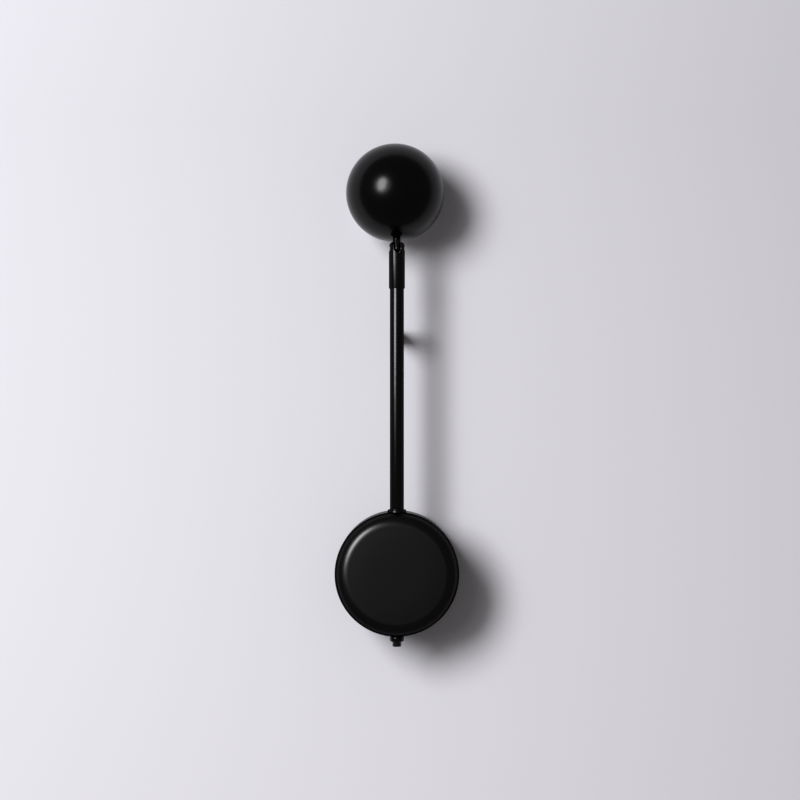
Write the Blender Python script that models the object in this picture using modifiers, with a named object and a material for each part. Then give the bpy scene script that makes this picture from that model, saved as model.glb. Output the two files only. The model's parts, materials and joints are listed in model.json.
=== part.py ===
"""Adjustable wall light: a ball head on a knuckle joint, a slim arm, and a deep round drum on the wall.

The wall is the plane y = 0 and the light stands out of it towards -Y. The origin is the middle of
the wall plate's back face, +X is to the right and +Z is up. Every length is in metres.
"""

import math

import bmesh
import bpy
from mathutils import Matrix, Vector

MM = 0.001
GAP = 0.3 * MM  # left between pieces that touch

# Drum on the wall
DRUM_R = 62.5 * MM
DRUM_DEPTH = 86.5 * MM
DRUM_FILLET = 14.5 * MM
DRUM_WALL = 2.0 * MM
PLATE_R = DRUM_R - DRUM_WALL - 2 * GAP
PLATE_T = 2.0 * MM
LUG_SIZE = (3.0 * MM, 14.0 * MM, 14.0 * MM)
GRUB_R = 1.9 * MM
GRUB_Y = -9.0 * MM
SLOT_SPACING = 84.0 * MM  # between the two wall screws
SLOT_R = 2.4 * MM
SLOT_LENGTH = 9.0 * MM
DRIVER_Z = -22.0 * MM
DRIVER_SIZE = (60.0 * MM, 24.0 * MM, 26.0 * MM)
TAB_T = 1.6 * MM
TAB_X = 36.0 * MM  # the driver's two screws
EARTH_AT = (-34.0 * MM, 20.0 * MM)
TERMINAL_Z = 41.0 * MM
TERMINAL_SIZE = (30.0 * MM, 14.0 * MM, 9.0 * MM)
TERMINAL_PITCH = 9.5 * MM

# Arm: tube, its socket in the drum's top and the stand-off half way up
ARM_Y = -66.0 * MM
TUBE_R = 7.0 * MM
TUBE_BORE = 5.5 * MM
SOCKET_R = 8.0 * MM
SOCKET_FLANGE_R = 8.9 * MM
SOCKET_FOOT_R = 9.7 * MM  # the flange widens down to the drum
SOCKET_TOP = 64.9 * MM
TUBE_BOTTOM = 50.5 * MM
RUNNING = 0.15 * MM  # radial clearance of the pieces that turn
POST_Z = 241.5 * MM  # at the wall
POST_RISE = 7.5 * MM  # from the wall to the tube
POST_R = 7.0 * MM
POST_REACH = 61.5 * MM  # from the wall to the post's front end
PAD_T = 1.5 * MM
SADDLE_R = 8.2 * MM
SADDLE_HEIGHT = 22.0 * MM
SADDLE_SPAN = (45, 135)  # degrees round the tube, 90 is towards the wall

# Fork sleeve on the tube's top end, and the tilt pivot in it
SLEEVE_R = 8.0 * MM
SLEEVE_BOTTOM = 287.3 * MM
SLEEVE_TOP = 334.8 * MM
SLEEVE_SHOULDER = 5.4 * MM
TUBE_TOP = 310.5 * MM
PIVOT_Z = 327.5 * MM
FORK_HALF_GAP = 4.15 * MM
PIN_R = 1.95 * MM
PIN_HEAD_R = 3.2 * MM
PIN_SEAT = 6.1 * MM  # from the middle to the underside of the pivot screw's head, and of its nut
GROOVE_Z = 300.0 * MM
GROOVE_R = 6.2 * MM

# Head: stem and ball, which leans back towards the wall
STEM_R = 4.0 * MM
THREAD_R = 2.9 * MM
BALL_R = 50.0 * MM
BALL_WALL = 1.5 * MM
MOUTH_R = 35.0 * MM
HEAD_REACH = 60.9 * MM  # pivot to the ball's centre
HEAD_LEAN = math.radians(15.7)
HEAD_TURN = math.radians(6.3)  # the sleeve rests turned slightly to the left
SINK_SCREWS = (-9.0 * MM, 9.0 * MM)  # heights of the heat sink's two screws

# Push switch under the drum
SWITCH_NECK_R = 5.5 * MM
SWITCH_BORE_R = 4.75 * MM
SWITCH_NUT_R = 7.1 * MM
BUTTON_R = 4.4 * MM
BUTTON_BOTTOM = -72.8 * MM

BLACK = (0.012, 0.012, 0.013)
FACE_FRONT = (math.pi / 2, 0, 0)  # local +Z turns to the room, -Y
FACE_BACK = (-math.pi / 2, 0, 0)  # local +Z turns to the wall, +Y
FACE_RIGHT = (0, math.pi / 2, 0)  # local +Z turns to +X


# ---------------------------------------------------------------- helpers

def clear_scene():
    for obj in list(bpy.data.objects):
        bpy.data.objects.remove(obj, do_unlink=True)


def new_collection(name):
    collection = bpy.data.collections.new(name)
    bpy.context.scene.collection.children.link(collection)
    return collection


def material(name, color, roughness, metallic=0.0, alpha=1.0):
    """The finish called name, made the first time that it is asked for."""
    if name in bpy.data.materials:
        return bpy.data.materials[name]
    made = bpy.data.materials.new(name)
    made.use_nodes = True
    shader = made.node_tree.nodes["Principled BSDF"]
    shader.inputs["Base Color"].default_value = (*color, 1.0)
    shader.inputs["Roughness"].default_value = roughness
    shader.inputs["Metallic"].default_value = metallic
    shader.inputs["Alpha"].default_value = alpha
    return made


def satin_black():
    return material("satin_black", BLACK, 0.38)


def gloss_black():
    return material("gloss_black", BLACK, 0.16)


def steel():
    return material("zinc_steel", (0.62, 0.62, 0.60), 0.35, 1.0)


def aluminium():
    return material("aluminium", (0.75, 0.75, 0.76), 0.4, 1.0)


def put(obj, name, finish=None, collection=None):
    """Names an object, moves it to its collection and gives it its finish."""
    obj.name = name
    obj.data.name = name
    for holder in list(obj.users_collection):
        holder.objects.unlink(obj)
    (collection or parts).objects.link(obj)
    if finish:
        obj.data.materials.clear()
        obj.data.materials.append(finish)
    return obj


def place(obj, location=(0, 0, 0), rotation=(0, 0, 0)):
    obj.location = location
    obj.rotation_euler = rotation
    return obj


def turned(name, profile, finish, steps=24, closed=False):
    """A piece turned about its local Z axis from (radius, height) points.

    The points run down the outside from the top. A closed profile is a ring's section.
    """
    mesh = bpy.data.meshes.new(name)
    shape = bmesh.new()
    points = [shape.verts.new((radius, 0, height)) for radius, height in profile]
    for first, second in zip(points, points[1:] + points[:1] if closed else points[1:]):
        shape.edges.new((first, second))
    shape.to_mesh(mesh)
    shape.free()
    obj = bpy.data.objects.new(name, mesh)
    screw = obj.modifiers.new("Turn", "SCREW")
    screw.axis = "Z"
    screw.steps = steps
    screw.render_steps = steps
    screw.use_merge_vertices = True
    screw.merge_threshold = 0.00001
    screw.use_smooth_shade = True
    return put(obj, name, finish)


def arc(centre, radius, start, end, count):
    """count + 1 points on a round stretch of a profile, angles in degrees from the radius axis."""
    points = []
    for step in range(count + 1):
        angle = math.radians(start + (end - start) * step / count)
        points.append((centre[0] + radius * math.cos(angle), centre[1] + radius * math.sin(angle)))
    return points


def ring(name, outer, inner, bottom, top, finish, steps=24):
    """A washer or bush: a turned ring with a square section."""
    section = [(outer, top), (outer, bottom), (inner, bottom), (inner, top)]
    return turned(name, section, finish, steps, closed=True)


def cylinder(name, radius, bottom, top, finish=None, sides=24, collection=None):
    """A cylinder on the local Z axis between two heights, with its origin on the axis at 0."""
    bpy.ops.mesh.primitive_cylinder_add(vertices=sides, radius=radius, depth=top - bottom)
    obj = bpy.context.object
    obj.data.transform(Matrix.Translation((0, 0, (top + bottom) / 2)))
    return put(obj, name, finish, collection)


def box(name, low, high, finish=None, collection=None):
    """A box between two corners, with its origin at their reference frame's origin."""
    bpy.ops.mesh.primitive_cube_add(size=1)
    obj = bpy.context.object
    size = [high[i] - low[i] for i in range(3)]
    middle = [(high[i] + low[i]) / 2 for i in range(3)]
    obj.data.transform(Matrix.Translation(middle) @ Matrix.Diagonal((*size, 1)))
    return put(obj, name, finish, collection)


def bevel(obj, width, segments=1, angle=40):
    edge = obj.modifiers.new("Round", "BEVEL")
    edge.width = width
    edge.segments = segments
    edge.limit_method = "ANGLE"
    edge.angle_limit = math.radians(angle)
    return obj


def shell(obj, thickness):
    """Gives a turned surface its wall, on the inside."""
    wall = obj.modifiers.new("Wall", "SOLIDIFY")
    wall.thickness = thickness
    wall.offset = -1
    wall.use_even_offset = True
    return obj


def joined(obj, other, operation="DIFFERENCE"):
    """Cuts obj with other, or adds other to it."""
    other.display_type = "WIRE"
    other.hide_render = True
    boolean = obj.modifiers.new(other.name, "BOOLEAN")
    boolean.operation = operation
    boolean.solver = "EXACT"
    boolean.object = other
    return obj


def drill(obj, name, radius, bottom, top, location=(0, 0, 0), rotation=(0, 0, 0), parent=None, sides=16):
    """Drills a round hole along the cutter's local Z."""
    cutter = cylinder(f"cut_{name}", radius, bottom, top, sides=sides, collection=cutters)
    place(cutter, location, rotation)
    cutter.parent = parent
    return joined(obj, cutter)


def screw(name, head_r, head_t, shank_r, length, finish, sides=12):
    """A pan head screw with its shank along local -Z. The head's underside is at 0."""
    profile = [(0, head_t), (head_r * 0.75, head_t), (head_r, head_t * 0.55), (head_r, 0)]
    profile += [(shank_r, 0), (shank_r, -length), (0, -length)]
    return turned(name, profile, finish, sides)


# ---------------------------------------------------------------- drum and what is in it

def canopy_drum():
    """Deep round cover, open at the wall, with a broad fillet round its front face."""
    flat_r = DRUM_R - DRUM_FILLET
    profile = [(0, DRUM_DEPTH)]
    profile += arc((flat_r, DRUM_DEPTH - DRUM_FILLET), DRUM_FILLET, 90, 0, 5)
    profile += [(DRUM_R, GAP)]
    drum = turned("canopy_drum", profile, satin_black(), 56)
    place(shell(drum, DRUM_WALL), rotation=FACE_FRONT)
    arm = (0, ARM_Y, 0)
    drill(drum, "socket_hole", SOCKET_R + GAP, 50 * MM, 70 * MM, arm, sides=24)
    drill(drum, "switch_hole", SWITCH_NECK_R + GAP, -70 * MM, -50 * MM, arm, sides=24)
    for side in (-1, 1):
        name = "left" if side < 0 else "right"
        drill(drum, f"drum_grub_{name}", GRUB_R + GAP, 50 * MM, 70 * MM, (0, GRUB_Y, 0),
              (0, side * math.pi / 2, 0))
    return drum


def wall_plate():
    """Round plate against the wall, with two lugs for the drum's grub screws."""
    plate = cylinder("wall_plate", PLATE_R, 0, PLATE_T, steel(), 48)
    place(plate, rotation=FACE_FRONT)
    for side in (-1, 1):
        name = "left" if side < 0 else "right"
        outer = side * (PLATE_R - 1.6 * MM)
        inner = outer - side * LUG_SIZE[0]
        low = (min(outer, inner), -PLATE_T / 2 - LUG_SIZE[1], -LUG_SIZE[2] / 2)
        high = (max(outer, inner), -PLATE_T / 2, LUG_SIZE[2] / 2)
        joined(plate, box(f"add_lug_{name}", low, high, collection=cutters), "UNION")
        drill(plate, f"lug_hole_{name}", GRUB_R + GAP, 50 * MM, 70 * MM, (0, GRUB_Y, 0),
              (0, side * math.pi / 2, 0))
        slot = box(f"cut_slot_{name}", (-SLOT_LENGTH / 2, -4 * MM, side * SLOT_SPACING / 2 - SLOT_R),
                   (SLOT_LENGTH / 2, 2 * MM, side * SLOT_SPACING / 2 + SLOT_R), collection=cutters)
        joined(plate, bevel(slot, SLOT_R * 0.9, 2))
    drill(plate, "cable_entry", 5 * MM, -2 * MM, 4 * MM, (0, 0, 22 * MM), FACE_FRONT)
    for x, z in fixing_points():
        drill(plate, f"fixing_{round(x * 1000)}", 1.8 * MM, -2 * MM, 4 * MM, (x, 0, z), FACE_FRONT)
    return plate


def fixing_points():
    """Where small screws enter the wall plate: the driver's two and the earth screw."""
    return [(-TAB_X, DRIVER_Z), (TAB_X, DRIVER_Z), EARTH_AT]


def canopy_screws():
    for side in (-1, 1):
        name = "left" if side < 0 else "right"
        grub = cylinder(f"canopy_screw_{name}", GRUB_R, 54.5 * MM, 62.2 * MM, steel(), 16)
        drill(grub, f"hex_key_{name}", 1.0 * MM, 60.4 * MM, 64 * MM, (0, GRUB_Y, 0),
              (0, side * math.pi / 2, 0), sides=6)
        place(grub, (0, GRUB_Y, 0), (0, side * math.pi / 2, 0))


def led_driver():
    """Constant-current driver: a moulded box with a screw tab at each end."""
    half = [value / 2 for value in DRIVER_SIZE]
    back = -PLATE_T - GAP
    driver = box("led_driver", (-half[0], back - DRIVER_SIZE[1], DRIVER_Z - half[2]),
                 (half[0], back, DRIVER_Z + half[2]), material("white_plastic", (0.8, 0.8, 0.78), 0.5))
    bevel(driver, 1.5 * MM)
    tab = box("add_tabs", (-41 * MM, back - TAB_T, DRIVER_Z - 7 * MM),
              (41 * MM, back - 0.02 * MM, DRIVER_Z + 7 * MM), collection=cutters)
    joined(driver, tab, "UNION")
    for side in (-1, 1):
        name = "left" if side < 0 else "right"
        at = (side * TAB_X, 0, DRIVER_Z)
        drill(driver, f"tab_{name}", 1.8 * MM, 1 * MM, 6 * MM, at, FACE_FRONT)
        fixing = screw(f"driver_screw_{name}", 3 * MM, 1.8 * MM, 1.5 * MM, 3.6 * MM, steel())
        place(fixing, (at[0], back - TAB_T - GAP, DRIVER_Z), FACE_FRONT)


def terminal_block():
    """Three-way terminal with a clamp screw over each way."""
    half = [value / 2 for value in TERMINAL_SIZE]
    back = -PLATE_T - GAP
    block = box("terminal_block", (-half[0], back - TERMINAL_SIZE[1], TERMINAL_Z - half[2]),
                (half[0], back, TERMINAL_Z + half[2]), material("grey_plastic", (0.35, 0.35, 0.36), 0.5))
    bevel(block, 0.8 * MM)
    front = back - TERMINAL_SIZE[1]
    for way in (-1, 0, 1):
        at = (way * TERMINAL_PITCH, front, TERMINAL_Z)
        drill(block, f"terminal_{way + 2}", 2.2 * MM, -4 * MM, 1 * MM, at, FACE_FRONT)
        drill(block, f"wire_way_{way + 2}", 1.5 * MM, -10 * MM, 10 * MM,
              (at[0], front + 9 * MM, TERMINAL_Z), sides=12)
        clamp = cylinder(f"terminal_screw_{way + 2}", 1.9 * MM, -3.6 * MM, -0.8 * MM, steel(), 16)
        place(clamp, at, FACE_FRONT)


def earth_screw():
    brass = material("brass", (0.8, 0.6, 0.3), 0.35, 1.0)
    earth = screw("earth_screw", 3.4 * MM, 2 * MM, 1.5 * MM, 1.9 * MM, brass)
    place(earth, (EARTH_AT[0], -PLATE_T - GAP, EARTH_AT[1]), FACE_FRONT)


def push_switch():
    """Switch body inside the drum, its bezel nut outside and the button in its bore."""
    plastic = material("black_plastic", (0.02, 0.02, 0.02), 0.4)
    shoulder, neck_end, bore_top = -59.6 * MM, -66.6 * MM, -52.0 * MM
    profile = [(0, -38 * MM), (7 * MM, -38 * MM), (7 * MM, shoulder), (SWITCH_NECK_R, shoulder)]
    profile += [(SWITCH_NECK_R, neck_end), (SWITCH_BORE_R, neck_end)]
    profile += [(SWITCH_BORE_R, bore_top), (0, bore_top)]
    place(turned("switch_body", profile, plastic), (0, ARM_Y, 0))
    inner = SWITCH_NECK_R + 0.2 * MM
    nut_top, lip, nut_end = -DRUM_R - GAP, -66.9 * MM, -68.2 * MM
    profile = [(SWITCH_NUT_R - 0.4 * MM, nut_top), (SWITCH_NUT_R, nut_top - 0.8 * MM)]
    profile += [(SWITCH_NUT_R, nut_top - 2.2 * MM), (SWITCH_NUT_R - 0.6 * MM, nut_end + 1.2 * MM)]
    profile += [(SWITCH_NUT_R - 1.5 * MM, nut_end), (SWITCH_BORE_R, nut_end)]
    profile += [(SWITCH_BORE_R, lip), (inner, lip), (inner, nut_top)]
    place(turned("switch_nut", profile, satin_black(), closed=True), (0, ARM_Y, 0))
    edge = BUTTON_BOTTOM + 0.8 * MM
    profile = [(0, -56 * MM), (BUTTON_R, -56 * MM), (BUTTON_R, edge)]
    profile += [(BUTTON_R - 0.7 * MM, BUTTON_BOTTOM), (0, BUTTON_BOTTOM)]
    place(turned("switch_button", profile, gloss_black()), (0, ARM_Y, 0))


# ---------------------------------------------------------------- arm

def arm_socket():
    """Flanged bush in the drum's top that holds the tube, clamped by a nut inside the drum."""
    bore, neck_end, seat = TUBE_R + RUNNING, 49.0 * MM, TUBE_BOTTOM - GAP
    flange = DRUM_R + GAP
    section = [(SOCKET_FLANGE_R - 0.6 * MM, SOCKET_TOP), (SOCKET_FLANGE_R, SOCKET_TOP - 0.6 * MM)]
    section += [(SOCKET_FOOT_R, flange), (SOCKET_R, flange), (SOCKET_R, neck_end)]
    section += [(4 * MM, neck_end), (4 * MM, seat), (bore, seat), (bore, SOCKET_TOP)]
    place(turned("arm_socket", section, gloss_black(), closed=True), (0, ARM_Y, 0))
    washer = ring("socket_washer", 10.8 * MM, SOCKET_R + GAP, 57.3 * MM, 58.3 * MM, steel())
    place(washer, (0, ARM_Y, 0))
    nut = cylinder("socket_nut", 11.2 * MM, 53.0 * MM, 57.0 * MM, steel(), 6)
    place(nut, (0, ARM_Y, 0))
    drill(nut, "socket_nut", SOCKET_R + 0.2 * MM, 50 * MM, 60 * MM, (0, ARM_Y, 0), sides=24)


def arm_tube():
    """Slim tube with a turned groove that the sleeve's set screw runs in."""
    high, low = GROOVE_Z + 2 * MM, GROOVE_Z - 2 * MM
    section = [(TUBE_R, TUBE_TOP), (TUBE_R, high), (GROOVE_R, high), (GROOVE_R, low), (TUBE_R, low)]
    section += [(TUBE_R, TUBE_BOTTOM), (TUBE_BORE, TUBE_BOTTOM), (TUBE_BORE, TUBE_TOP)]
    place(turned("arm_tube", section, gloss_black(), closed=True), (0, ARM_Y, 0))


def leaning(obj):
    """Slants a piece made along local Z so that it climbs by POST_RISE between the wall and the tube."""
    slant = Matrix.Identity(4)
    slant[1][2] = POST_RISE / -ARM_Y
    obj.data.transform(slant)
    return obj


def post_saddle():
    """Curved strip brazed to the tube's back, out of sight from the front, that the post butts on."""
    start, end = SADDLE_SPAN
    steps = 6
    inner = arc((0, 0), TUBE_R + RUNNING, start, end, steps)
    outer = arc((0, 0), SADDLE_R, end, start, steps)
    shape = bmesh.new()
    low = shape.faces.new([shape.verts.new((x, y, -SADDLE_HEIGHT / 2)) for x, y in inner + outer])
    grown = bmesh.ops.extrude_face_region(shape, geom=[low])
    tops = [item for item in grown["geom"] if isinstance(item, bmesh.types.BMVert)]
    bmesh.ops.translate(shape, verts=tops, vec=Vector((0, 0, SADDLE_HEIGHT)))
    bmesh.ops.recalc_face_normals(shape, faces=shape.faces)
    mesh = bpy.data.meshes.new("post_saddle")
    shape.to_mesh(mesh)
    shape.free()
    saddle = put(bpy.data.objects.new("post_saddle", mesh), "post_saddle", satin_black())
    return place(saddle, (0, ARM_Y, POST_Z + POST_RISE))


def standoff_post():
    """Round post that climbs slightly from its wall pad to the tube, with a hollowed front end."""
    rubber = material("rubber", (0.03, 0.03, 0.03), 0.8)
    place(cylinder("post_pad", POST_R, 0, PAD_T, rubber), (0, 0, POST_Z), FACE_FRONT)
    post = leaning(cylinder("standoff_post", POST_R, PAD_T + GAP, POST_REACH, satin_black()))
    place(post, (0, 0, POST_Z), FACE_FRONT)
    drill(post, "saddle_seat", SADDLE_R + GAP, -20 * MM, 20 * MM, (0, ARM_Y, POST_Z + POST_RISE), sides=36)


# ---------------------------------------------------------------- fork sleeve and pivot

def sleeve_frame():
    """Empty on the tube's axis, turned as the sleeve rests. Its +X runs along the tilt pivot."""
    empty = bpy.data.objects.new("sleeve_frame", None)
    parts.objects.link(empty)
    empty.empty_display_size = 20 * MM
    return place(empty, (0, ARM_Y, 0), (0, 0, HEAD_TURN))


def on_sleeve(obj, axis, location=(0, 0, 0), rotation=(0, 0, 0)):
    place(obj, location, rotation)
    obj.parent = axis
    return obj


def fork_sleeve(axis):
    """Sleeve that turns on the tube's top end, slotted into two ears for the pivot."""
    bore, web, wire = TUBE_R + RUNNING, TUBE_TOP + GAP, 2.5 * MM
    section = [(wire, SLEEVE_TOP), (SLEEVE_R - SLEEVE_SHOULDER, SLEEVE_TOP)]
    section += arc((SLEEVE_R - SLEEVE_SHOULDER, SLEEVE_TOP - SLEEVE_SHOULDER), SLEEVE_SHOULDER, 90, 0, 4)[1:]
    section += [(SLEEVE_R, SLEEVE_BOTTOM + 0.4 * MM), (SLEEVE_R - 0.4 * MM, SLEEVE_BOTTOM)]
    section += [(bore, SLEEVE_BOTTOM), (bore, web), (wire, web)]
    sleeve = on_sleeve(turned("fork_sleeve", section, gloss_black(), 28, closed=True), axis)
    bottom = PIVOT_Z - 0.35 * MM
    drill(sleeve, "fork_bottom", FORK_HALF_GAP, -12 * MM, 12 * MM, (0, 0, bottom), FACE_FRONT, axis, 24)
    slot = box("cut_fork_slot", (-FORK_HALF_GAP, -12 * MM, 0), (FORK_HALF_GAP, 12 * MM, 12 * MM),
               collection=cutters)
    joined(sleeve, on_sleeve(slot, axis, (0, 0, bottom)))
    pivot = (0, 0, PIVOT_Z)
    drill(sleeve, "pin_hole", PIN_R + 0.2 * MM, -9 * MM, 9 * MM, pivot, FACE_RIGHT, axis)
    for side in (-1, 1):
        name = "left" if side < 0 else "right"
        turn = (0, side * math.pi / 2, 0)
        drill(sleeve, f"counterbore_{name}", 3.4 * MM, 5.8 * MM, 9 * MM, pivot, turn, axis)
    drill(sleeve, "set_screw_hole", 1.7 * MM, 4 * MM, 10 * MM, (0, 0, GROOVE_Z), FACE_BACK, axis)


def pivot_hardware(axis):
    """Pivot screw and its round nut, both sunk in the ears, and the sleeve's set screw."""
    pivot, turn = (0, 0, PIVOT_Z), (0, -math.pi / 2, 0)
    pin = [(0, 7.9 * MM), (2.0 * MM, 7.8 * MM), (2.8 * MM, 7.5 * MM), (PIN_HEAD_R, 7.1 * MM)]
    pin += [(PIN_HEAD_R, PIN_SEAT), (PIN_R, PIN_SEAT), (PIN_R, -7.4 * MM), (0, -7.4 * MM)]
    pin = on_sleeve(turned("pivot_screw", pin, steel(), 16), axis, pivot, turn)
    slot = box("cut_screw_slot", (-5 * MM, -0.4 * MM, 6.6 * MM), (5 * MM, 0.4 * MM, 9 * MM),
               collection=cutters)
    joined(pin, on_sleeve(slot, axis, pivot, turn))
    bore = PIN_R + 0.2 * MM
    nut = [(2.5 * MM, 7.8 * MM), (PIN_HEAD_R, 7.2 * MM), (PIN_HEAD_R, PIN_SEAT)]
    nut += [(bore, PIN_SEAT), (bore, 7.8 * MM)]
    on_sleeve(turned("pivot_nut", nut, steel(), 16, closed=True), axis, pivot, FACE_RIGHT)
    grub = cylinder("swivel_set_screw", 1.5 * MM, GROOVE_R + 0.25 * MM, SLEEVE_R - 0.2 * MM, steel(), 12)
    on_sleeve(grub, axis, (0, 0, GROOVE_Z), FACE_BACK)
    drill(grub, "set_screw_key", 0.7 * MM, SLEEVE_R - 1.0 * MM, 9 * MM, (0, 0, GROOVE_Z), FACE_BACK, axis, 6)


# ---------------------------------------------------------------- head

def head_frame(axis):
    """Empty on the tilt pivot. Its +Z runs up the stem and its +Y out of the ball's mouth."""
    empty = bpy.data.objects.new("head_frame", None)
    parts.objects.link(empty)
    empty.empty_display_size = 20 * MM
    return on_sleeve(empty, axis, (0, 0, PIVOT_Z), (-HEAD_LEAN, 0, 0))


def on_head(obj, head, rotation=(0, 0, 0), centre=True):
    """Puts a piece on the head's frame, at the ball's centre or at the pivot."""
    place(obj, (0, 0, HEAD_REACH if centre else 0), rotation)
    obj.parent = head
    return obj


def stem(head):
    """Rod with a round end in the fork, cross-drilled for the pivot, and a threaded end in the ball."""
    shoulder = HEAD_REACH - BALL_R - GAP
    thread_end = HEAD_REACH - 38.5 * MM
    profile = [(0, thread_end), (THREAD_R - 0.4 * MM, thread_end), (THREAD_R, thread_end - 0.4 * MM)]
    profile += [(THREAD_R, shoulder), (STEM_R, shoulder)]
    profile += arc((0, 0), STEM_R, 0, -90, 6)
    rod = on_head(turned("stem", profile, gloss_black(), 24), head, centre=False)
    return drill(rod, "stem_eye", PIN_R + 0.2 * MM, -9 * MM, 9 * MM, rotation=FACE_RIGHT, parent=head)


def ball_shade(head):
    """Spun ball, open at the side that faces the wall, with a small hole for the stem."""
    mouth = math.degrees(math.acos(MOUTH_R / BALL_R))
    profile = arc((0, 0), BALL_R, mouth, -90, 14)
    ball = turned("ball_shade", profile, satin_black(), 40)
    on_head(shell(ball, BALL_WALL), head, FACE_BACK)
    return drill(ball, "stem_hole", THREAD_R + GAP, HEAD_REACH - 55 * MM, HEAD_REACH - 45 * MM, parent=head)


def stem_fixing(head):
    """Washer and hex nut that hold the ball and the lamp bracket on the stem."""
    on_head(ring("stem_washer", 7 * MM, THREAD_R + GAP, -47.6 * MM, -46.6 * MM, steel(), 24), head)
    nut = on_head(cylinder("stem_nut", 5.8 * MM, -44 * MM, -40 * MM, steel(), 6), head)
    drill(nut, "stem_nut", THREAD_R + 0.2 * MM, HEAD_REACH - 46 * MM, HEAD_REACH - 38 * MM, parent=head)


def lamp_bracket(head):
    """Bent strip from the stem nut up to the heat sink."""
    outline = [(-7, -46.3), (9, -46.3), (9, 14), (7, 14), (7, -44.3), (-7, -44.3)]
    curve = bpy.data.curves.new("lamp_bracket", "CURVE")
    curve.dimensions = "2D"
    curve.fill_mode = "BOTH"
    curve.extrude = 7 * MM
    line = curve.splines.new("POLY")
    line.points.add(len(outline) - 1)
    for point, (y, z) in zip(line.points, outline):
        point.co = (y * MM, z * MM, 0, 1)
    line.use_cyclic_u = True
    flat = bpy.data.objects.new("flat", curve)
    parts.objects.link(flat)
    mesh = bpy.data.meshes.new_from_object(flat.evaluated_get(bpy.context.evaluated_depsgraph_get()))
    bpy.data.objects.remove(flat)
    shape = bmesh.new()
    shape.from_mesh(mesh)
    bmesh.ops.remove_doubles(shape, verts=shape.verts, dist=0.00001)
    shape.to_mesh(mesh)
    shape.free()
    upright = Matrix(((0, 0, 1, 0), (1, 0, 0, 0), (0, 1, 0, 0), (0, 0, 0, 1)))
    mesh.transform(upright)
    bracket = on_head(put(bpy.data.objects.new("lamp_bracket", mesh), "lamp_bracket", steel()), head)
    drill(bracket, "bracket_foot", THREAD_R + GAP, HEAD_REACH - 50 * MM, HEAD_REACH - 42 * MM, parent=head)
    for height in SINK_SCREWS:
        drill(bracket, f"bracket_{round(height * 1000)}", 1.8 * MM, 5 * MM, 12 * MM,
              (0, 0, HEAD_REACH + height), FACE_BACK, head, 16)


def lamp(head):
    """Heat sink, LED board and emitter, reflector, diffuser and the ring that holds it."""
    rib = 2.0 * MM
    section = [(0, 15.3 * MM), (22 * MM, 15.3 * MM)]
    for level in (13.3 * MM, 11.3 * MM):
        section += [(22 * MM, level), (17 * MM, level)]
        section += [(17 * MM, level - rib / 2), (22 * MM, level - rib / 2)]
    section += [(22 * MM, 9.3 * MM), (0, 9.3 * MM)]
    sink = on_head(turned("heat_sink", section, aluminium(), 24), head, FACE_BACK)
    for height in SINK_SCREWS:
        drill(sink, f"sink_{round(height * 1000)}", 1.8 * MM, 5 * MM, 14 * MM,
              (0, 0, HEAD_REACH + height), FACE_BACK, head, 16)
        name = "sink_screw_top" if height > 0 else "sink_screw_bottom"
        fixing = on_head(screw(name, 2.8 * MM, 1.8 * MM, 1.5 * MM, 6.6 * MM, steel()), head, FACE_FRONT)
        fixing.location = (0, 6.7 * MM, HEAD_REACH + height)
    white = material("white_board", (0.85, 0.85, 0.83), 0.4)
    on_head(cylinder("led_board", 14 * MM, 15.6 * MM, 17.2 * MM, white), head, FACE_BACK)
    emitter = material("led_emitter", (0.9, 0.75, 0.2), 0.3)
    on_head(cylinder("led_emitter", 8 * MM, 17.5 * MM, 18.3 * MM, emitter), head, FACE_BACK)
    section = [(30 * MM, 31.6 * MM), (10.7 * MM, 17.5 * MM), (9.5 * MM, 17.5 * MM), (28.9 * MM, 31.6 * MM)]
    on_head(turned("reflector", section, white, 24, closed=True), head, FACE_BACK)
    section = [(32.7 * MM, 35.2 * MM), (32.7 * MM, 29.5 * MM), (30.4 * MM, 29.5 * MM), (30.4 * MM, 31.9 * MM)]
    section += [(31.9 * MM, 31.9 * MM), (31.9 * MM, 35.2 * MM)]
    on_head(turned("shade_ring", section, satin_black(), 32, closed=True), head, FACE_BACK)
    opal = material("opal_glass", (0.92, 0.92, 0.9), 0.35)
    profile = [(0, 35.0 * MM), (16 * MM, 34.8 * MM), (31.0 * MM, 34.2 * MM), (31.6 * MM, 33.8 * MM)]
    profile += [(31.6 * MM, 32.2 * MM), (0, 32.2 * MM)]
    on_head(turned("diffuser", profile, opal, 32), head, FACE_BACK)


# ---------------------------------------------------------------- assembly

clear_scene()
parts = new_collection("wall_light")
cutters = new_collection("cutters")
canopy_drum()
wall_plate()
canopy_screws()
led_driver()
terminal_block()
earth_screw()
push_switch()
arm_socket()
arm_tube()
standoff_post()
post_saddle()
sleeve_axis = sleeve_frame()
fork_sleeve(sleeve_axis)
pivot_hardware(sleeve_axis)
head_axis = head_frame(sleeve_axis)
stem(head_axis)
ball_shade(head_axis)
stem_fixing(head_axis)
lamp_bracket(head_axis)
lamp(head_axis)
for cutter in cutters.objects:
    cutter.hide_render = True
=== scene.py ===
"""Looks of the adjustable wall light: a satin black ball and drum, and a gloss black arm."""
import json
import math

import bmesh
import bpy
from mathutils import Matrix, Quaternion, Vector


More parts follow.
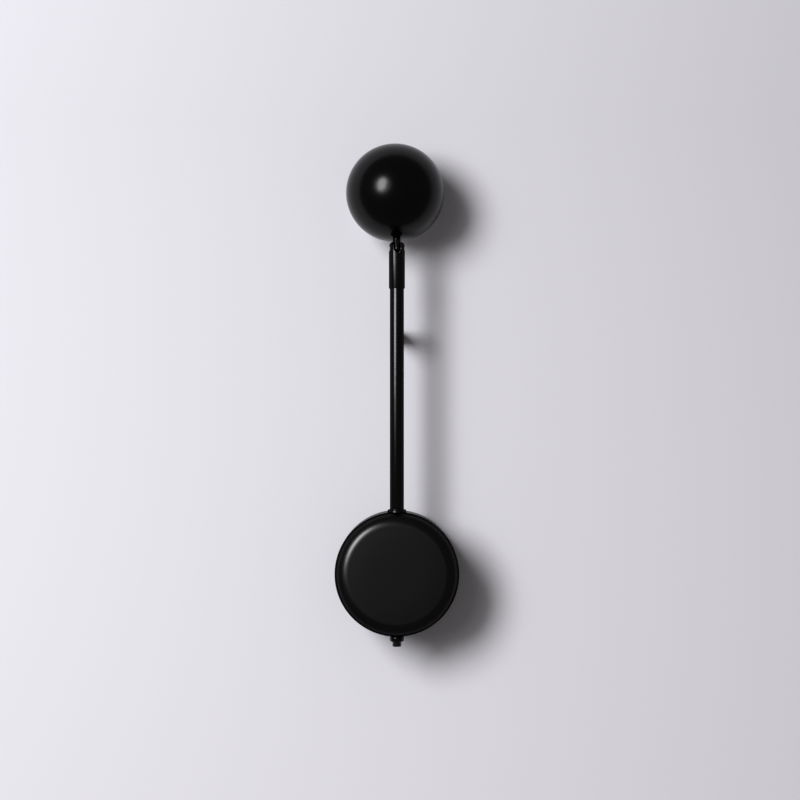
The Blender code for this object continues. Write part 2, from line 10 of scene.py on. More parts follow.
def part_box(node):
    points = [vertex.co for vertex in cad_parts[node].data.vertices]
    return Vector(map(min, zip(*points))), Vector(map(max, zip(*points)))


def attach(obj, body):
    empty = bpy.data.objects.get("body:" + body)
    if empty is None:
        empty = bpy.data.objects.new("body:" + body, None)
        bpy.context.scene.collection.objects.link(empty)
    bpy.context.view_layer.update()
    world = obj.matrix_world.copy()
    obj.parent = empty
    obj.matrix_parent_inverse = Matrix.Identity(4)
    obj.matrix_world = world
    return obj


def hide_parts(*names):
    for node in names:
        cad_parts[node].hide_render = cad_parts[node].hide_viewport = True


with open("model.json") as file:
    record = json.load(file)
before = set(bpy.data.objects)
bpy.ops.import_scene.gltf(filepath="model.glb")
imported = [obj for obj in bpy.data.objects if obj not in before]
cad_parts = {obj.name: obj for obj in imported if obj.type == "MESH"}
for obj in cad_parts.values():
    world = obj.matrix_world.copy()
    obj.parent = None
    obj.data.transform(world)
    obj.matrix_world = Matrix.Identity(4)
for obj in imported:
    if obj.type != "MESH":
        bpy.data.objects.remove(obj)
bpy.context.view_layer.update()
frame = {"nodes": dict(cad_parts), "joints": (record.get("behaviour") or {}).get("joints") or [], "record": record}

MM = 0.001
GAP = 0.3 * MM
nodes = frame["nodes"]
joints = {joint["name"]: joint for joint in frame["joints"]}

# Places and sizes read from the frame
arm_axis = Vector(joints["head_swivel"]["pos_m"])
pivot = Vector(joints["head_tilt"]["pos_m"])
tilt_axis = Vector(joints["head_tilt"]["axis"]).normalized()
drum_low, drum_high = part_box("canopy_drum")
DRUM_R = (drum_high.x - drum_low.x) / 2
DRUM_DEPTH = -drum_low.y
ball_low, ball_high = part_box("ball_shade")
BALL_R = (ball_high.x - ball_low.x) / 2
ball_centre = Vector(((ball_low.x + ball_high.x) / 2, ball_low.y + BALL_R, ball_high.z - BALL_R))
TUBE_R = 7.0 * MM
SLEEVE_R = 8.0 * MM
SADDLE_R = 8.2 * MM
RUNNING = 0.15 * MM  # clearance round the tube
GROOVE_Z = 300 * MM  # middle of the tube's groove, and the height of the set screw in it
PIN_HOLE_R = 2.15 * MM
FACE_CROWN = 0.7 * MM
DRUM_FILLET = 14.5 * MM
DRUM_WALL = 2.0 * MM
MATT_FACE_R = 47.5 * MM  # inside this the drum's face is matt, and the gloss of the band begins
MATT_BLEND = 4 * MM


# ---------------------------------------------------------------- mesh helpers

def from_bmesh(name, shape, smooth_angle=35):
    """An object from a bmesh, smooth except over edges sharper than smooth_angle."""
    bmesh.ops.remove_doubles(shape, verts=shape.verts, dist=1e-6)
    bmesh.ops.recalc_face_normals(shape, faces=shape.faces)
    mesh = bpy.data.meshes.new(name)
    shape.to_mesh(mesh)
    shape.free()
    obj = bpy.data.objects.new(name, mesh)
    bpy.context.scene.collection.objects.link(obj)
    shade(obj, smooth_angle)
    return obj


def shade(obj, angle=35):
    for face in obj.data.polygons:
        face.use_smooth = True
    obj.data.set_sharp_from_angle(angle=math.radians(angle))


def arc(centre, radius, start, end, count):
    """Points on a round stretch of a profile, angles in degrees from the radius axis."""
    points = []
    for step in range(count + 1):
        angle = math.radians(start + (end - start) * step / count)
        points.append((centre[0] + radius * math.cos(angle), centre[1] + radius * math.sin(angle)))
    return points


def eased(profile, width, count=3, closed=True):
    """The profile with each sharp corner off the axis rounded by an arc of about width."""
    points = []
    total = len(profile)
    for index, corner in enumerate(profile):
        here = Vector(corner)
        if not closed and index in (0, total - 1) or here.x < 1e-7:
            points.append(tuple(here))
            continue
        before = Vector(profile[index - 1]) - here
        after = Vector(profile[(index + 1) % total]) - here
        reach = min(width, before.length * 0.45, after.length * 0.45)
        if before.angle(after) > math.radians(150):
            points.append(tuple(here))
            continue
        first, last = here + before.normalized() * reach, here + after.normalized() * reach
        for step in range(count + 1):
            t = step / count
            points.append(tuple(first.lerp(here, t).lerp(here.lerp(last, t), t)))
    return points


def lathe(name, profile, steps=64, closed=False, matrix=Matrix.Identity(4), smooth_angle=35):
    """A piece turned about Z from (radius, height) points, then moved by matrix."""
    shape = bmesh.new()
    rows = []
    for step in range(steps):
        angle = 2 * math.pi * step / steps
        turn = (math.cos(angle), math.sin(angle))
        rows.append([shape.verts.new((r * turn[0], r * turn[1], z)) for r, z in profile])
    count = len(profile)
    for step in range(steps):
        near, far = rows[step], rows[(step + 1) % steps]
        for i in range(count if closed else count - 1):
            j = (i + 1) % count
            corners = [near[i], near[j], far[j], far[i]]
            if profile[i][0] < 1e-7:
                corners = [near[i], near[j], far[j]]
            elif profile[j][0] < 1e-7:
                corners = [near[i], near[j], far[i]]
            shape.faces.new(corners)
    bmesh.ops.transform(shape, matrix=matrix, verts=shape.verts)
    return from_bmesh(name, shape, smooth_angle)


def rod(radius, bottom, top, matrix, steps=48):
    """A plain cutter cylinder on its matrix's Z axis."""
    return lathe("cutter", [(0, top), (radius, top), (radius, bottom), (0, bottom)], steps, matrix=matrix)


def block(low, high, matrix):
    """A plain cutter box between two corners of its matrix's frame."""
    shape = bmesh.new()
    bmesh.ops.create_cube(shape, size=1)
    size = [high[i] - low[i] for i in range(3)]
    middle = [(high[i] + low[i]) / 2 for i in range(3)]
    move = matrix @ Matrix.Translation(middle) @ Matrix.Diagonal((*size, 1))
    bmesh.ops.transform(shape, matrix=move, verts=shape.verts)
    return from_bmesh("cutter", shape)


def cut(obj, *cutters):
    """Takes the cutters out of obj for good and removes them."""
    for cutter in cutters:
        modifier = obj.modifiers.new("Cut", "BOOLEAN")
        modifier.object = cutter
        modifier.solver = "EXACT"
    settle(obj)
    for cutter in cutters:
        bpy.data.objects.remove(cutter)
    return obj


def settle(obj):
    """Replaces the object's mesh with what its modifiers make of it."""
    graph = bpy.context.evaluated_depsgraph_get()
    mesh = bpy.data.meshes.new_from_object(obj.evaluated_get(graph))
    obj.modifiers.clear()
    obj.data = mesh
    return obj


def soften(obj, width, segments=3, angle=35):
    """Rounds the edges sharper than angle, so that they catch light."""
    edge = obj.modifiers.new("Round", "BEVEL")
    edge.width = width
    edge.segments = segments
    edge.limit_method = "ANGLE"
    edge.angle_limit = math.radians(angle)
    settle(obj)
    shade(obj, 40)
    return obj


def piece(obj, body, slot, *replaced, finish=None):
    """Gives a new piece its body and the finish of its slot, or another, and hides the CAD nodes it stands for."""
    obj.data.materials.clear()
    obj.data.materials.append(finishes[finish or slot])
    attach(obj, body)
    if replaced:
        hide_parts(*replaced)
    return obj


# Frames that turned pieces are made in
TO_ROOM = Matrix.Rotation(math.pi / 2, 4, "X")  # local +Z towards the room
TO_WALL = Matrix.Rotation(-math.pi / 2, 4, "X")  # local +Z towards the wall
TO_RIGHT = Matrix.Rotation(math.pi / 2, 4, "Y")
ARM = Matrix.Translation((arm_axis.x, arm_axis.y, 0))
turn_angle = math.atan2(tilt_axis.y, tilt_axis.x)
SLEEVE = ARM @ Matrix.Rotation(turn_angle, 4, "Z")
stem_up = (ball_centre - pivot).normalized()
HEAD_REACH = (ball_centre - pivot).length
mouth_way = stem_up.cross(tilt_axis).normalized()
HEAD = Matrix.Translation(pivot) @ Matrix((tilt_axis, mouth_way, stem_up)).transposed().to_4x4()
BALL = HEAD @ Matrix.Translation((0, 0, HEAD_REACH))
BALL_TO_WALL = BALL @ TO_WALL


# ---------------------------------------------------------------- materials

def tree(name):
    """A new material with its nodes, its links and its shader."""
    made = bpy.data.materials.new(name)
    made.use_nodes = True
    links = made.node_tree.links
    shader = made.node_tree.nodes["Principled BSDF"]
    return made, made.node_tree.nodes, links, shader


def noise(nodes_, links, coords, scale, detail=2.0, stretch=(1, 1, 1)):
    mapping = nodes_.new("ShaderNodeMapping")
    mapping.inputs["Scale"].default_value = stretch
    links.new(coords.outputs["Object"], mapping.inputs["Vector"])
    texture = nodes_.new("ShaderNodeTexNoise")
    texture.inputs["Scale"].default_value = scale
    texture.inputs["Detail"].default_value = detail
    links.new(mapping.outputs["Vector"], texture.inputs["Vector"])
    return texture.outputs["Fac"]


def spread(nodes_, links, value, low, high, source=(0.3, 0.7)):
    """Maps a noise value onto low..high."""
    remap = nodes_.new("ShaderNodeMapRange")
    remap.inputs["From Min"].default_value, remap.inputs["From Max"].default_value = source
    remap.inputs["To Min"].default_value = low
    remap.inputs["To Max"].default_value = high
    links.new(value, remap.inputs["Value"])
    return remap.outputs["Result"]


def coloured(nodes_, links, value, first, second):
    """A colour that goes from first to second with the value."""
    ramp = nodes_.new("ShaderNodeMix")
    ramp.data_type = "RGBA"
    ramp.inputs["A"].default_value = (*first, 1)
    ramp.inputs["B"].default_value = (*second, 1)
    links.new(value, ramp.inputs["Factor"])
    return ramp.outputs["Result"]


def bumped(nodes_, links, shader, value, strength, distance):
    bump = nodes_.new("ShaderNodeBump")
    bump.inputs["Strength"].default_value = strength
    bump.inputs["Distance"].default_value = distance
    links.new(value, bump.inputs["Height"])
    links.new(bump.outputs["Normal"], shader.inputs["Normal"])


def paint(name, dark, light, rough, peel, peel_height, specular=0.5, edge=None, drawn=0.0):
    """Painted metal: a faint colour shift in soft patches, and roughness and orange peel of one grain.

    With edge it is a lacquer that reflects less towards its outline; dark and light are then its reflectance.
    With drawn its highlights spread round the piece, as they do over the lengthwise marks of drawn tube.
    """
    made, nodes_, links, shader = tree(name)
    coords = nodes_.new("ShaderNodeTexCoord")
    patches = noise(nodes_, links, coords, 45, 4)
    grain = noise(nodes_, links, coords, 2600, 2)
    links.new(coloured(nodes_, links, patches, dark, light), shader.inputs["Base Color"])
    links.new(spread(nodes_, links, grain, *rough), shader.inputs["Roughness"])
    fine = noise(nodes_, links, coords, peel, 2)
    both = nodes_.new("ShaderNodeMath")
    both.operation = "MULTIPLY_ADD"
    both.inputs[1].default_value = 0.25
    links.new(grain, both.inputs[0])
    links.new(fine, both.inputs[2])
    bumped(nodes_, links, shader, both.outputs["Value"], 1.0, peel_height)
    shader.inputs["Specular IOR Level"].default_value = specular
    shader.inputs["Anisotropic"].default_value = drawn
    if edge is not None:
        shader.inputs["Metallic"].default_value = 1.0
        shader.inputs["Specular Tint"].default_value = (edge, edge, edge, 1)
    return made


def two_tone(made):
    """Makes the round face of the drum more matt than the band round it."""
    nodes_, links = made.node_tree.nodes, made.node_tree.links
    shader = nodes_["Principled BSDF"]
    coords = nodes_.new("ShaderNodeTexCoord")
    flat = nodes_.new("ShaderNodeVectorMath")
    flat.operation = "MULTIPLY"
    flat.inputs[1].default_value = (1, 0, 1)
    links.new(coords.outputs["Object"], flat.inputs[0])
    radius = nodes_.new("ShaderNodeVectorMath")
    radius.operation = "LENGTH"
    links.new(flat.outputs["Vector"], radius.inputs[0])
    band = spread(nodes_, links, radius.outputs["Value"], 0, 1, (MATT_FACE_R, MATT_FACE_R + MATT_BLEND))
    for socket, low in (("Roughness", 0.5), ("Base Color", 0.0235)):
        inner = shader.inputs[socket].links[0].from_socket
        mix = nodes_.new("ShaderNodeMix")
        mix.data_type = "RGBA"
        mix.inputs["A"].default_value = (low, low, low, 1)
        links.new(inner, mix.inputs["B"])
        links.new(band, mix.inputs["Factor"])
        links.new(mix.outputs["Result"], shader.inputs[socket])
    return made


def metal(name, dark, light, rough, brush=(1, 1, 1), brush_scale=900, height=0.00002):
    """Bare or plated metal with fine lay marks along one axis."""
    made, nodes_, links, shader = tree(name)
    coords = nodes_.new("ShaderNodeTexCoord")
    patches = noise(nodes_, links, coords, 60, 4)
    lines = noise(nodes_, links, coords, brush_scale, 3, brush)
    links.new(coloured(nodes_, links, patches, dark, light), shader.inputs["Base Color"])
    links.new(spread(nodes_, links, lines, *rough), shader.inputs["Roughness"])
    bumped(nodes_, links, shader, lines, 0.6, height)
    shader.inputs["Metallic"].default_value = 1.0
    return made


def moulded(name, dark, light, rough, grain=1800, height=0.00003, subsurface=0.0):
    """Moulded plastic or rubber with a fine spark-eroded grain."""
    made, nodes_, links, shader = tree(name)
    coords = nodes_.new("ShaderNodeTexCoord")
    patches = noise(nodes_, links, coords, 70, 3)
    fine = noise(nodes_, links, coords, grain, 2)
    links.new(coloured(nodes_, links, patches, dark, light), shader.inputs["Base Color"])
    links.new(spread(nodes_, links, fine, *rough), shader.inputs["Roughness"])
    bumped(nodes_, links, shader, fine, 0.5, height)
    shader.inputs["Subsurface Weight"].default_value = subsurface
    shader.inputs["Subsurface Scale"].default_value = 0.004
    return made


def make_finishes():
    return {
        "satin_black": paint("satin_black", (0.0012, 0.0012, 0.0013), (0.002, 0.002, 0.0022),
                             (0.16, 0.25), 700, 0.000006, specular=0.24),
        "drum_black": two_tone(paint("drum_black", (0.036, 0.036, 0.036), (0.040, 0.040, 0.040),
                                     (0.24, 0.30), 700, 0.000004, edge=0.25)),
        "gloss_black": paint("gloss_black", (0.030, 0.030, 0.0305), (0.034, 0.034, 0.0345),
                             (0.18, 0.21), 420, 0.0000008, edge=0.2, drawn=0.5),
        "gloss_button": moulded("gloss_button", (0.004, 0.004, 0.0045), (0.007, 0.007, 0.0075),
                                (0.14, 0.2), 900, 0.000006),
        "black_plastic": moulded("black_plastic", (0.015, 0.015, 0.015), (0.025, 0.025, 0.025), (0.38, 0.5)),
        "white_plastic": moulded("white_plastic", (0.72, 0.72, 0.7), (0.82, 0.82, 0.8), (0.4, 0.52)),
        "grey_plastic": moulded("grey_plastic", (0.3, 0.3, 0.31), (0.38, 0.38, 0.39), (0.42, 0.55)),
        "white_board": moulded("white_board", (0.8, 0.8, 0.78), (0.88, 0.88, 0.86), (0.3, 0.42), 1200),
        "opal_diffuser": moulded("opal_diffuser", (0.86, 0.86, 0.84), (0.93, 0.93, 0.91),
                                 (0.26, 0.36), 1500, 0.00001, 0.35),
        "led_emitter": moulded("led_emitter", (0.82, 0.62, 0.12), (0.92, 0.74, 0.2), (0.25, 0.35), 1500),
        "zinc_steel": metal("zinc_steel", (0.5, 0.5, 0.49), (0.66, 0.66, 0.65), (0.26, 0.42)),
        "aluminium": metal("aluminium", (0.66, 0.66, 0.67), (0.76, 0.76, 0.77), (0.3, 0.45), (1, 12, 1)),
        "brass": metal("brass", (0.7, 0.5, 0.22), (0.82, 0.62, 0.3), (0.25, 0.4)),
        "rubber": moulded("rubber", (0.018, 0.018, 0.018), (0.03, 0.03, 0.03), (0.6, 0.75), 900, 0.00006),
    }


# ---------------------------------------------------------------- pieces on the base

def drum_fillet(grow):
    """The quarter round from the face to the side. grow moves it outwards."""
    centre = (DRUM_R - DRUM_FILLET, DRUM_DEPTH - FACE_CROWN - DRUM_FILLET)
    return arc(centre, DRUM_FILLET + grow, 90, 0, 28)


def drum_outside(grow=0.0):
    """The drum's outer profile from the middle of its slightly crowned face to its rim."""
    flat = DRUM_R - DRUM_FILLET
    profile = [(0, DRUM_DEPTH + grow)]
    profile += [(flat * k / 16, DRUM_DEPTH + grow - FACE_CROWN * (k / 16) ** 4) for k in range(1, 16)]
    profile += drum_fillet(grow) + [(DRUM_R + grow, depth * MM) for depth in (60, 45, 30, 15, 4)]
    return profile + [(DRUM_R + grow, GAP + 0.5 * MM)]


def drum():
    """Pressed drum cover: a slightly crowned face, a full fillet and a thin turned-in rim."""
    rim, inside = GAP, DRUM_R - DRUM_WALL
    profile = drum_outside() + [(DRUM_R - 0.15 * MM, rim + 0.15 * MM), (DRUM_R - 0.5 * MM, rim)]
    profile += [(inside + 0.3 * MM, rim), (inside, rim + 0.3 * MM)]
    profile += drum_fillet(-DRUM_WALL)[::-2] + [(0, DRUM_DEPTH - FACE_CROWN - DRUM_WALL)]
    shell = lathe("drum_shell", profile, 160, matrix=TO_ROOM)
    neck_hole, switch_hole, screw_hole, screw_y = 8.3 * MM, 5.8 * MM, 2.2 * MM, -9 * MM
    near, far = 50 * MM, 70 * MM  # from inside the cover's wall to outside it
    holes = [rod(neck_hole, near, far, ARM), rod(switch_hole, -far, -near, ARM)]
    for side in (-1, 1):
        reach = Matrix.Translation((0, screw_y, 0)) @ Matrix.Rotation(side * math.pi / 2, 4, "Y")
        holes.append(rod(screw_hole, near, far, reach))
    cut(shell, *holes)
    shade(shell, 30)
    piece(shell, "base", "satin_black", "canopy_drum", finish="drum_black")


def socket_and_tube():
    """Flared bush whose underside follows the drum, and the tube that stands in it."""
    low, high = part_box("arm_socket")
    top, bottom = high.z, low.z
    flange, foot, neck, bore = 8.9 * MM, 9.7 * MM, 8.0 * MM, TUBE_R + RUNNING
    seat = DRUM_R - 1.6 * MM
    lower = DRUM_R + 0.3 * MM
    section = [(flange, top), (flange + 0.15 * MM, top - 0.9 * MM), (foot - 0.25 * MM, lower + 0.5 * MM)]
    section += [(foot, lower), (foot, seat), (bore, seat), (bore, top)]
    bush = lathe("socket_bush", eased(section, 0.5 * MM), 72, closed=True, matrix=ARM)
    cut(bush, lathe("cutter", drum_outside(0.05 * MM) + [(0, 20 * MM)], 160, matrix=TO_ROOM))
    shade(bush, 40)
    # the neck goes down through the drum's wall, so it is turned apart from the trimmed flange
    wire, ledge = 4 * MM, bottom + 1.2 * MM
    section = [(neck, lower), (neck, bottom), (wire, bottom), (wire, ledge), (bore, ledge), (bore, lower)]
    through = lathe("socket_neck", eased(section, 0.2 * MM), 48, closed=True, matrix=ARM)
    piece(bush, "base", "gloss_black", "arm_socket")
    piece(through, "base", "gloss_black")
    low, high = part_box("arm_tube")
    groove_r, groove_top, groove_foot, inner = 6.2 * MM, GROOVE_Z + 2 * MM, GROOVE_Z - 2 * MM, 5.5 * MM
    section = [(TUBE_R, high.z), (TUBE_R, groove_top), (groove_r, groove_top)]
    section += [(groove_r, groove_foot), (TUBE_R, groove_foot)]
    section += [(TUBE_R, low.z), (inner, low.z), (inner, high.z)]
    tube = lathe("tube", eased(section, 0.3 * MM), 72, closed=True, matrix=ARM)
    piece(tube, "base", "gloss_black", "arm_tube")


def switch():
    """Barrel-shaped bezel nut close under the drum, and the dished button in it."""
    low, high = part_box("switch_nut")
    bore, wide, end = 4.75 * MM, (high.x - low.x) / 2, low.z
    top = high.z + 0.25 * MM
    section = [(wide - 0.5 * MM, top), (wide - 0.1 * MM, top - 0.9 * MM), (wide, top - 1.7 * MM)]
    barrel, thread, ledge = 2.6 * MM, 5.7 * MM, end + 1.3 * MM
    section += arc((wide - barrel, end + 2.5 * MM), barrel, 0, -74, 8)
    section += [(bore + 0.5 * MM, end), (bore, end + 0.3 * MM), (bore, ledge)]
    section += [(thread, ledge), (thread, top)]
    nut = lathe("bezel_nut", section, 96, closed=True, matrix=ARM)
    piece(nut, "base", "satin_black", "switch_nut")
    low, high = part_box("switch_button")
    radius, end, edge, dish = (high.x - low.x) / 2, low.z, 0.8 * MM, 0.35 * MM
    profile = [(0, high.z), (radius, high.z), (radius, end + 1.1 * MM)]
    profile += arc((radius - edge, end + edge), edge, 0, -90, 6)
    profile += [(radius * k, end + dish * (1 - k * k)) for k in (0.7, 0.5, 0.3, 0.15)]
    profile += [(0, end + dish)]
    button = lathe("push_button", profile, 64, matrix=ARM)
    piece(button, "button", "gloss_button", "switch_button")


def post_and_saddle():
    """Slightly climbing stand-off post with a hollowed end, its wall pad, and the saddle behind the tube."""
    pad_low, pad_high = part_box("post_pad")
    radius, height = (pad_high.x - pad_low.x) / 2, (pad_high.z + pad_low.z) / 2
    low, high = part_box("post_saddle")
    middle, half = (low.z + high.z) / 2, (high.z - low.z) / 2
    seat = Matrix.Translation((arm_axis.x, arm_axis.y, middle))
    slant = Matrix.Identity(4)
    slant[1][2] = (middle - height) / -arm_axis.y
    saddle = sector("saddle", TUBE_R + RUNNING, SADDLE_R, 45, 135, half, seat)
    piece(saddle, "base", "satin_black", "post_saddle")
    at = Matrix.Translation((0, 0, height)) @ TO_ROOM
    low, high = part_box("standoff_post")
    profile = eased([(0, -low.y), (radius, -low.y), (radius, -high.y), (0, -high.y)], 0.5 * MM, closed=False)
    post = lathe("post", profile, 64, matrix=at @ slant)
    cut(post, rod(SADDLE_R + 0.3 * MM, -20 * MM, 20 * MM, seat, 96))
    shade(post, 40)
    piece(post, "base", "satin_black", "standoff_post")
    profile = eased([(0, -pad_low.y), (radius, -pad_low.y), (radius, -pad_high.y), (0, -pad_high.y)],
                    0.35 * MM, closed=False)
    pad = lathe("wall_pad", profile, 64, matrix=at)
    piece(pad, "base", "rubber", "post_pad")


def sector(name, inner, outer, start, end, half, matrix, count=40):
    """Part of a ring between two angles, with rounded edges."""
    shape = bmesh.new()
    rows = []
    for step in range(count + 1):
        angle = math.radians(start + (end - start) * step / count)
        section = [(inner, -half), (outer, -half), (outer, half), (inner, half)]
        rows.append([shape.verts.new((r * math.cos(angle), r * math.sin(angle), z)) for r, z in section])
    for near, far in zip(rows, rows[1:]):
        for i in range(4):
            j = (i + 1) % 4
            shape.faces.new([near[i], near[j], far[j], far[i]])
    shape.faces.new(rows[0])
    shape.faces.new(rows[-1])
    bmesh.ops.transform(shape, matrix=matrix, verts=shape.verts)
    return soften(from_bmesh(name, shape), 0.4 * MM, 3, 50)


# ---------------------------------------------------------------- pieces on the sleeve and the head

def sleeve():
    """Fork sleeve: rounded shoulders, a U-shaped slot, sunk pivot holes and eased edges."""
    low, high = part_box("fork_sleeve")
    top, bottom, shoulder = high.z + 0.25 * MM, low.z, 5.4 * MM
    bore, web, wire, lip = TUBE_R + RUNNING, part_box("arm_tube")[1].z + GAP, 2.5 * MM, 0.5 * MM
    section = [(wire, top), (SLEEVE_R - shoulder, top)]
    section += arc((SLEEVE_R - shoulder, top - shoulder), shoulder, 90, 0, 10)[1:]
    section += [(SLEEVE_R, bottom + lip)]
    section += arc((SLEEVE_R - lip, bottom + lip), lip, 0, -90, 4)[1:]
    section += [(bore, bottom), (bore, web), (wire, web)]
    fork = lathe("fork", section, 80, closed=True, matrix=SLEEVE)
    slot_r, slot_reach = 4.15 * MM, 12 * MM
    sunk_r, sunk_floor, pin_reach = 3.4 * MM, 5.8 * MM, 9 * MM
    slot = SLEEVE @ Matrix.Translation((0, 0, pivot.z - 0.35 * MM))
    cutters = [rod(slot_r, -slot_reach, slot_reach, slot @ TO_ROOM, 64)]
    cutters.append(block((-slot_r, -slot_reach, 0), (slot_r, slot_reach, slot_reach), slot))
    pin = SLEEVE @ Matrix.Translation((0, 0, pivot.z)) @ TO_RIGHT
    cutters.append(rod(PIN_HOLE_R, -pin_reach, pin_reach, pin, 32))
    cutters.append(rod(sunk_r, sunk_floor, pin_reach, pin, 48))
    cutters.append(rod(sunk_r, -pin_reach, -sunk_floor, pin, 48))
    back = SLEEVE @ Matrix.Translation((0, 0, GROOVE_Z)) @ TO_WALL
    cutters.append(rod(1.7 * MM, 4 * MM, 10 * MM, back, 32))  # the set screw's hole
    cut(fork, *cutters)
    soften(fork, 0.25 * MM, 2, 50)
    piece(fork, "sleeve", "gloss_black", "fork_sleeve")


def stem():
    """Turned stem with a ball end in the fork and a threaded end inside the ball."""
    shoulder = HEAD_REACH - BALL_R - GAP
    end = HEAD_REACH - 38.5 * MM
    radius, thread = 4.0 * MM, 2.9 * MM
    profile = [(0, end), (thread - 0.4 * MM, end), (thread, end - 0.4 * MM), (thread, shoulder)]
    profile += [(radius - 0.3 * MM, shoulder), (radius, shoulder - 0.3 * MM)]
    profile += arc((0, 0), radius, 0, -90, 12)
    bar = lathe("stem_rod", profile, 48, matrix=HEAD)
    cut(bar, rod(PIN_HOLE_R, -9 * MM, 9 * MM, HEAD @ TO_RIGHT, 32))
    shade(bar, 40)
    piece(bar, "head", "gloss_black", "stem")


def ball():
    """Spun ball shade with a rolled lip round its mouth and a hole for the stem."""
    wall, mouth_r = 1.5 * MM, 35.0 * MM
    mouth = math.degrees(math.acos(mouth_r / BALL_R))
    lip = BALL_R - wall / 2
    edge = math.radians(mouth)
    centre = (lip * math.cos(edge), lip * math.sin(edge))
    rolled = arc(centre, wall / 2, mouth + 180, mouth, 8)[1:-1]
    outer = arc((0, 0), BALL_R, mouth, -90, 72)[:-1] + [(0, -BALL_R)]
    inner = [(0, wall - BALL_R)] + arc((0, 0), BALL_R - wall, -90, mouth, 48)[1:]
    shell = lathe("ball_shell", rolled + outer, 128, matrix=BALL_TO_WALL)
    inside = lathe("ball_inside", inner, 128, matrix=BALL_TO_WALL)
    join_shells(shell, inside)
    cut(shell, rod(3.2 * MM, -55 * MM, -45 * MM, BALL, 32))
    shade(shell, 50)
    piece(shell, "head", "satin_black", "ball_shade")


def join_shells(outer, inner):
    """Welds the outside and the inside of the ball into one closed skin."""
    shape = bmesh.new()
    shape.from_mesh(outer.data)
    shape.from_mesh(inner.data)
    bmesh.ops.remove_doubles(shape, verts=shape.verts, dist=1e-5)
    bmesh.ops.recalc_face_normals(shape, faces=shape.faces)
    shape.to_mesh(outer.data)
    shape.free()
    bpy.data.objects.remove(inner)


def mouth():
    """The diffuser's ring, and the opal diffuser with its moulded rings."""
    section = [(32.7, 35.2), (32.7, 29.5), (30.4, 29.5), (30.4, 31.9), (31.9, 31.9), (31.9, 35.2)]
    section = [(r * MM, z * MM) for r, z in section]
    ring = lathe("diffuser_ring", eased(section, 0.35 * MM), 128, closed=True, matrix=BALL_TO_WALL)
    piece(ring, "head", "satin_black", "shade_ring")
    crown, domed_r, dome, pitch, ripple, steps = 35.0, 31.0, 0.8, 1.6, 0.05, 96
    profile = [(0, crown)]
    for k in range(1, steps):
        radius = domed_r * k / steps
        wave = ripple * (math.cos(2 * math.pi * radius / pitch) - 1)
        profile.append((radius, crown - dome * (k / steps) ** 2 + wave))
    profile += [(domed_r, 34.15), (31.6, 33.7), (31.6, 32.2), (0, 32.2)]
    profile = [(r * MM, z * MM) for r, z in profile]
    disc = lathe("opal_disc", profile, 96, matrix=BALL_TO_WALL)
    piece(disc, "head", "opal_diffuser", "diffuser")


def finish_cad_nodes():
    """The CAD nodes that stay: each takes the detailed material of its slot."""
    slots = {entry["node"]: entry["material_slot"] for entry in frame["record"]["subparts"]}
    for name, obj in nodes.items():
        obj.data.materials.clear()
        obj.data.materials.append(finishes[slots[name]])


# ---------------------------------------------------------------- stage

TOUCHING = 2.5 * MM  # a face nearer to the wall than this gets light through it
# painted shade: the wall's tone darkens with height to even out the softbox's stronger light higher up
WALL_LOW = (0.86, 0.86, 0.905)
WALL_HIGH_SHADED = (0.73, 0.73, 0.77)
PAINTED_SHADE_SPAN = (-2.53, -1.78)  # heights on the wall's own axis between the two tones
AIM = Vector((0, 0, 0.15))
SOFTBOX_AT, SOFTBOX_SIZE, SOFTBOX_POWER = Vector((-1.42, -2.4, 1.01)), (1.02, 1.5), 63
SOFTBOX_LEAN = math.radians(-12)
SOFTBOX_COLOUR = (0.99, 0.985, 1.0)
FILL_AT, FILL_SIZE, FILL_POWER = Vector((-1.5, -2.6, 0.95)), (2.1, 2.1), 27
FILL_COLOUR = (1.0, 0.98, 0.97)
SURROUND, SURROUND_COLOUR = 0.165, (1.0, 0.95, 0.94, 1)
VIEW_GAMMA = 0.85
CAMERA_AT, CAMERA_RISE, CAMERA_LENS = (0.0031, -2.2, 0.1216), math.radians(1.43), 95.37


def one_sided(name, grain, height):
    """A matt paint with painted shade, darker higher up to even out the softbox's stronger light there, that only
    shows from its front and so never hides the light.

    It also lets light through to a face that lies right against it, such as the back of the wall plate.
    """
    made, nodes_, links, shader = tree(name)
    coords = nodes_.new("ShaderNodeTexCoord")
    fine = noise(nodes_, links, coords, grain, 4)
    parts = nodes_.new("ShaderNodeSeparateXYZ")
    links.new(coords.outputs["Object"], parts.inputs["Vector"])
    # painted shade: darker higher on the wall, where the softbox lights it more
    painted_shade = spread(nodes_, links, parts.outputs["Y"], 0, 1, PAINTED_SHADE_SPAN)
    links.new(coloured(nodes_, links, painted_shade, WALL_LOW, WALL_HIGH_SHADED), shader.inputs["Base Color"])
    shader.inputs["Roughness"].default_value = 0.85
    shader.inputs["Specular IOR Level"].default_value = 0.2
    bumped(nodes_, links, shader, fine, 0.5, height)
    output = nodes_["Material Output"]
    clear = nodes_.new("ShaderNodeBsdfTransparent")
    side = nodes_.new("ShaderNodeNewGeometry")
    mix = nodes_.new("ShaderNodeMixShader")
    path = nodes_.new("ShaderNodeLightPath")
    touching = nodes_.new("ShaderNodeMath")
    touching.operation = "LESS_THAN"
    touching.inputs[1].default_value = TOUCHING
    links.new(path.outputs["Ray Length"], touching.inputs[0])
    either = nodes_.new("ShaderNodeMath")
    either.operation = "MAXIMUM"
    links.new(side.outputs["Backfacing"], either.inputs[0])
    links.new(touching.outputs["Value"], either.inputs[1])
    links.new(either.outputs["Value"], mix.inputs["Fac"])
    links.new(shader.outputs["BSDF"], mix.inputs[1])
    links.new(clear.outputs["BSDF"], mix.inputs[2])
    links.new(mix.outputs["Shader"], output.inputs["Surface"])
    return made


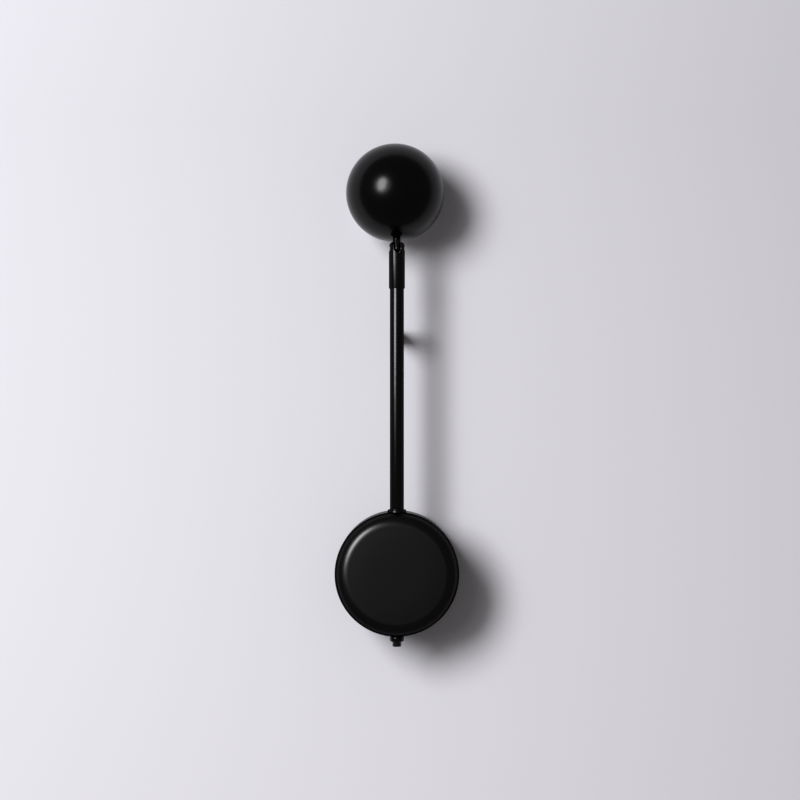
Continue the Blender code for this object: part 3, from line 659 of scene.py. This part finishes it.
def stage():
    """Pale wall just behind the light and a pale floor well below it."""
    wall_gap, floor_z, size = 0.6 * MM, -0.75, 6.0
    for name, location, rotation in (
        ("stage_wall", (0, wall_gap, floor_z + size / 2), (math.pi / 2, 0, 0)),
        ("stage_floor", (0, wall_gap - size / 2, floor_z), (0, 0, 0)),
    ):
        bpy.ops.mesh.primitive_plane_add(size=size, location=location, rotation=rotation)
        plane = bpy.context.object
        plane.name = name
        plane.data.materials.append(one_sided(name, 700, 0.00003))
        if name == "stage_floor":
            plane.visible_diffuse = False
            plane.visible_glossy = False


def softbox(name, place, size, power, colour, lean=0.0):
    """An oval area light that faces the middle of the wall light."""
    data = bpy.data.lights.new(name, "AREA")
    data.shape = "ELLIPSE"
    data.size, data.size_y = size
    data.energy = power
    data.color = colour
    lamp = bpy.data.objects.new(name, data)
    bpy.context.scene.collection.objects.link(lamp)
    lamp.location = place
    facing = (AIM - place).to_track_quat("-Z", "Y")
    lamp.rotation_euler = (facing @ Quaternion((0, 0, 1), lean)).to_euler()


def lights():
    """A tall oval softbox high on the left, a broad dim one behind it and an even pale surround."""
    softbox("softbox", SOFTBOX_AT, SOFTBOX_SIZE, SOFTBOX_POWER, SOFTBOX_COLOUR, SOFTBOX_LEAN)
    softbox("fill", FILL_AT, FILL_SIZE, FILL_POWER, FILL_COLOUR)
    world = bpy.data.worlds.new("surround")
    bpy.context.scene.world = world
    world.use_nodes = True
    background = world.node_tree.nodes["Background"]
    background.inputs["Color"].default_value = SURROUND_COLOUR
    background.inputs["Strength"].default_value = SURROUND
    view = bpy.context.scene.view_settings
    view.view_transform = "Standard"
    view.look = "None"
    view.gamma = VIEW_GAMMA


def camera():
    """Level with the arm's lower third and almost square to the wall."""
    data = bpy.data.cameras.new("camera")
    data.sensor_width = 36.0
    data.lens = CAMERA_LENS
    eye = bpy.data.objects.new("camera", data)
    bpy.context.scene.collection.objects.link(eye)
    eye.location = CAMERA_AT
    eye.rotation_euler = (math.pi / 2 + CAMERA_RISE, 0, 0)
    bpy.context.scene.camera = eye


finishes = make_finishes()
camera()
lights()
stage()
finish_cad_nodes()
drum()
socket_and_tube()
switch()
post_and_saddle()
sleeve()
stem()
ball()
mouth()
